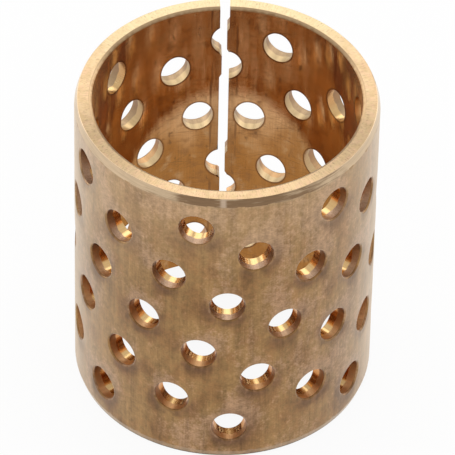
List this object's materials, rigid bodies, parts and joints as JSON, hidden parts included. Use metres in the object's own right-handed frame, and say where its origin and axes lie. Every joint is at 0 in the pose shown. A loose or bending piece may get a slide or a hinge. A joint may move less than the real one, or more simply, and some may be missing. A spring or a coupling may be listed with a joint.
{
  "type": "wrapped bronze bearing bush with through pockets",
  "caption": "Thin-walled split bronze bush rolled from strip, with staggered rows of round through pockets, chamfered ends and an open straight seam.",
  "frame": {"origin": "centre of the lower end face, on the bore's axis", "axes": "+Z along the bore axis, from the lower end face to the upper; the seam is on the +Y side, and -Y is the front"},
  "size_m": [0.0344, 0.0344, 0.04],
  "materials": {
    "tin_bronze": "brushed bare bronze, brighter on the turned end faces"
  },
  "bodies": {
    "root": {"wrapped_bush": "tin_bronze"}
  },
  "joints": []
}
